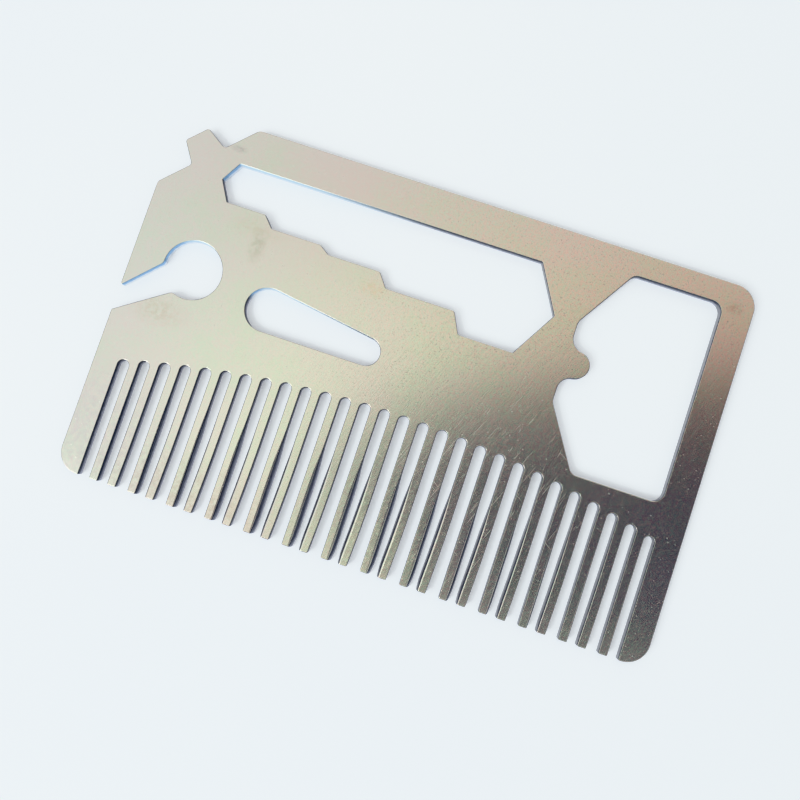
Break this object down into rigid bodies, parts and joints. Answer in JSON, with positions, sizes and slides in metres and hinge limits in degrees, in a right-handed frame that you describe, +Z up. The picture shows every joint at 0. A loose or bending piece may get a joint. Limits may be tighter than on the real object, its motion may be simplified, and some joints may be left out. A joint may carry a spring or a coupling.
{
  "type": "beard comb",
  "caption": "Flat card-size beard comb stamped from one steel sheet, with a stepped wrench slot, a bottle opener window, a keyhole notch, a teardrop slot and a screwdriver blade.",
  "frame": {"origin": "middle of the underside of the flat plate's bounding box", "axes": "+X along the card towards the bottle opener window, +Y from the tooth tips to the straight back edge, +Z up through the sheet"},
  "size_m": [0.085, 0.054, 0.0015],
  "materials": {
    "steel": "satin tumbled stainless steel with fine scratches, faint smudges and darker cut edges"
  },
  "bodies": {
    "root": {"comb_plate": "steel"}
  },
  "joints": []
}
